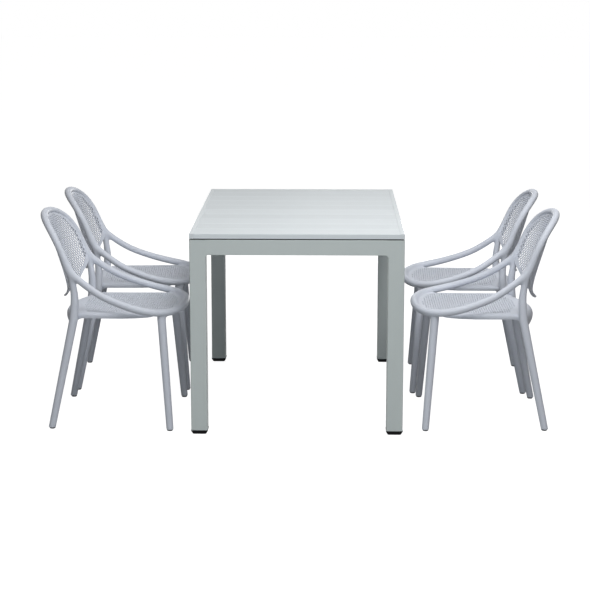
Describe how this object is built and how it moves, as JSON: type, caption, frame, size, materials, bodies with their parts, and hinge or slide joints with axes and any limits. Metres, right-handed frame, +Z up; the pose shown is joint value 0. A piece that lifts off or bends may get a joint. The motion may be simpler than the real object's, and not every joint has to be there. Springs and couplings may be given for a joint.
{
  "type": "patio dining set",
  "caption": "Outdoor dining set: a long slat-topped metal table on square legs, with moulded armchairs whose arms and seat rim are one hoop round a perforated back.",
  "frame": {"origin": "on the floor under the middle of the table top", "axes": "+Z up from the floor, +Y along the length of the table away from its front end, +X across the slats towards the right-hand chairs"},
  "size_m": [1.954, 1.202, 0.7971],
  "materials": {
    "frame_paint": "satin powder coat, pale grey-green, on aluminium tube",
    "top_paint": "fine-ribbed satin powder coat, pale grey, on aluminium slats",
    "bracket_steel": "satin powder coat on bent steel",
    "zinc_fixings": "bright zinc plate",
    "black_plastic": "black moulded polypropylene",
    "black_rubber": "black rubber",
    "chair_resin": "satin moulded resin, very pale lilac grey, UV-stable",
    "glide_plastic": "dark grey moulded plastic"
  },
  "bodies": {
    "table": {"leg_front_left": "frame_paint", "leg_front_right": "frame_paint", "leg_rear_left": "frame_paint", "leg_rear_right": "frame_paint", "foot_cap_front_left": "black_plastic", "foot_cap_front_right": "black_plastic", "foot_cap_rear_left": "black_plastic", "foot_cap_rear_right": "black_plastic", "leg_plugs": "black_plastic", "apron_front": "frame_paint", "apron_rear": "frame_paint", "apron_left": "frame_paint", "apron_right": "frame_paint", "bracket_front_left": "bracket_steel", "bracket_front_right": "bracket_steel", "bracket_rear_left": "bracket_steel", "bracket_rear_right": "bracket_steel", "corner_bolts": "zinc_fixings", "bracket_screws": "zinc_fixings", "rail_left": "frame_paint", "rail_right": "frame_paint", "edge_rail_left": "top_paint", "edge_rail_right": "top_paint", "edge_caps": "top_paint", "slat_01": "top_paint", "slat_02": "top_paint", "slat_03": "top_paint", "slat_04": "top_paint", "slat_05": "top_paint", "slat_06": "top_paint", "slat_07": "top_paint", "slat_08": "top_paint", "slat_09": "top_paint", "slat_10": "top_paint", "spacer_pads": "black_rubber", "slat_screws": "zinc_fixings"},
    "chair_1": {"chair_1_hoop": "chair_resin", "chair_1_back": "chair_resin", "chair_1_seat": "chair_resin", "chair_1_rear_legs": "chair_resin", "chair_1_front_legs": "chair_resin", "chair_1_glides": "glide_plastic"},
    "chair_2": {"chair_2_hoop": "chair_resin", "chair_2_back": "chair_resin", "chair_2_seat": "chair_resin", "chair_2_rear_legs": "chair_resin", "chair_2_front_legs": "chair_resin", "chair_2_glides": "glide_plastic"},
    "chair_3": {"chair_3_hoop": "chair_resin", "chair_3_back": "chair_resin", "chair_3_seat": "chair_resin", "chair_3_rear_legs": "chair_resin", "chair_3_front_legs": "chair_resin", "chair_3_glides": "glide_plastic"},
    "chair_4": {"chair_4_hoop": "chair_resin", "chair_4_back": "chair_resin", "chair_4_seat": "chair_resin", "chair_4_rear_legs": "chair_resin", "chair_4_front_legs": "chair_resin", "chair_4_glides": "glide_plastic"}
  },
  "joints": [
    {"name": "chair_1_slide", "type": "slide", "parent": "table", "child": "chair_1", "axis": [-1, 0, 0], "range_m": [0, 0.6]},
    {"name": "chair_2_slide", "type": "slide", "parent": "table", "child": "chair_2", "axis": [1, 0, 0], "range_m": [0, 0.6]},
    {"name": "chair_3_slide", "type": "slide", "parent": "table", "child": "chair_3", "axis": [-1, 0, 0], "range_m": [0, 0.6]},
    {"name": "chair_4_slide", "type": "slide", "parent": "table", "child": "chair_4", "axis": [1, 0, 0], "range_m": [0, 0.6]}
  ]
}
